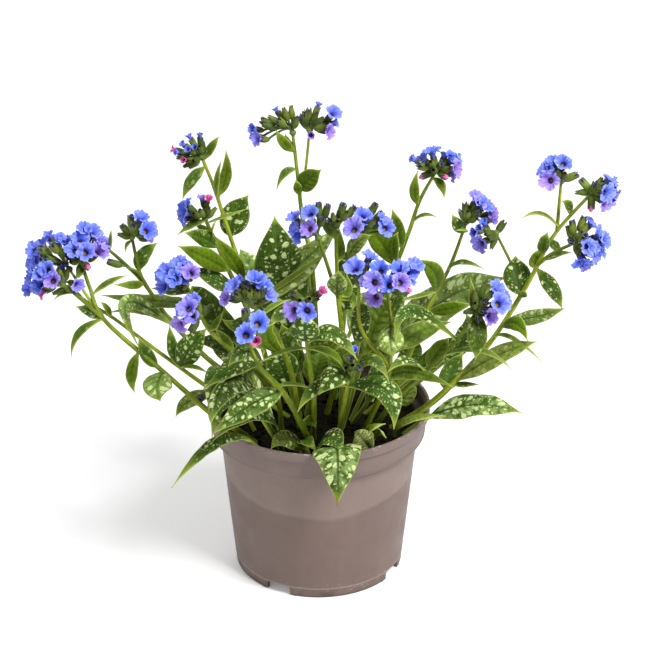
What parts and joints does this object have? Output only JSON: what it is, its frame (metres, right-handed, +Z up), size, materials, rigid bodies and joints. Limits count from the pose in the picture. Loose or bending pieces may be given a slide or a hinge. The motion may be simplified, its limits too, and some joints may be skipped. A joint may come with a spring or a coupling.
{
  "type": "potted lungwort",
  "caption": "Potted lungwort: spotted hairy leaves and branching stems with clusters of blue, violet and pink flowers, in a thin taupe plastic nursery pot of soil.",
  "frame": {"origin": "centre of the pot's foot on the floor", "axes": "+Z up along the pot's axis, +X to the plant's right seen from the front, the front faces -Y"},
  "size_m": [0.3881, 0.2512, 0.3138],
  "materials": {
    "pot": "matt, faintly mottled",
    "soil": "crumbly peat",
    "stems": "finely hairy, soft sheen",
    "leaves": "matt, finely hairy, pale spots",
    "flowers": "thin, soft satin"
  },
  "bodies": {
    "root": {"pot": "pot", "stem_low_left": "stems", "stem_mid_left": "stems", "stem_high_left": "stems", "stem_front_left": "stems", "stem_tall_left": "stems", "stem_inner_left": "stems", "stem_tall_middle": "stems", "stem_inner_middle": "stems", "stem_tall_right": "stems", "stem_inner_right": "stems", "stem_long_right": "stems", "stem_front_right": "stems", "stem_near_right": "stems", "stem_near_left": "stems", "stem_thick_front": "stems", "stem_middle_front": "stems", "stem_short_front": "stems", "leaf_spotted_back": "leaves", "leaf_back_middle": "leaves", "leaf_back_left": "leaves", "leaf_right_fan": "leaves", "leaf_back_fan": "leaves", "leaf_inner_pair": "leaves", "leaf_low_right_pair": "leaves", "leaf_over_rim": "leaves", "leaf_rim_pair": "leaves", "leaf_low_front_pair": "leaves", "leaf_front_left_pair": "leaves", "leaf_trailing_left": "leaves", "leaf_upright_right": "leaves", "leaf_upright_pale": "leaves", "leaf_rear_pair": "leaves", "flowers_low_left_a": "flowers", "flowers_mid_left": "flowers", "flowers_low_left": "flowers", "flowers_high_left_a": "flowers", "flowers_front_left": "flowers", "flowers_front_left_a": "flowers", "flowers_tall_left": "flowers", "flowers_inner_left": "flowers", "flowers_tall_middle": "flowers", "flowers_tall_middle_a": "flowers", "flowers_inner_middle_a": "flowers", "flowers_inner_middle": "flowers", "flowers_inner_middle_b": "flowers", "flowers_tall_right": "flowers", "flowers_inner_right": "flowers", "flowers_long_right_c": "flowers", "flowers_long_right_a": "flowers", "flowers_long_right": "flowers", "flowers_long_right_b": "flowers", "flowers_front_right": "flowers", "flowers_near_right": "flowers", "flowers_near_right_a": "flowers", "flowers_near_left": "flowers", "flowers_thick_front": "flowers", "flowers_middle_front": "flowers", "flowers_short_front": "flowers", "soil": "soil"}
  },
  "joints": []
}
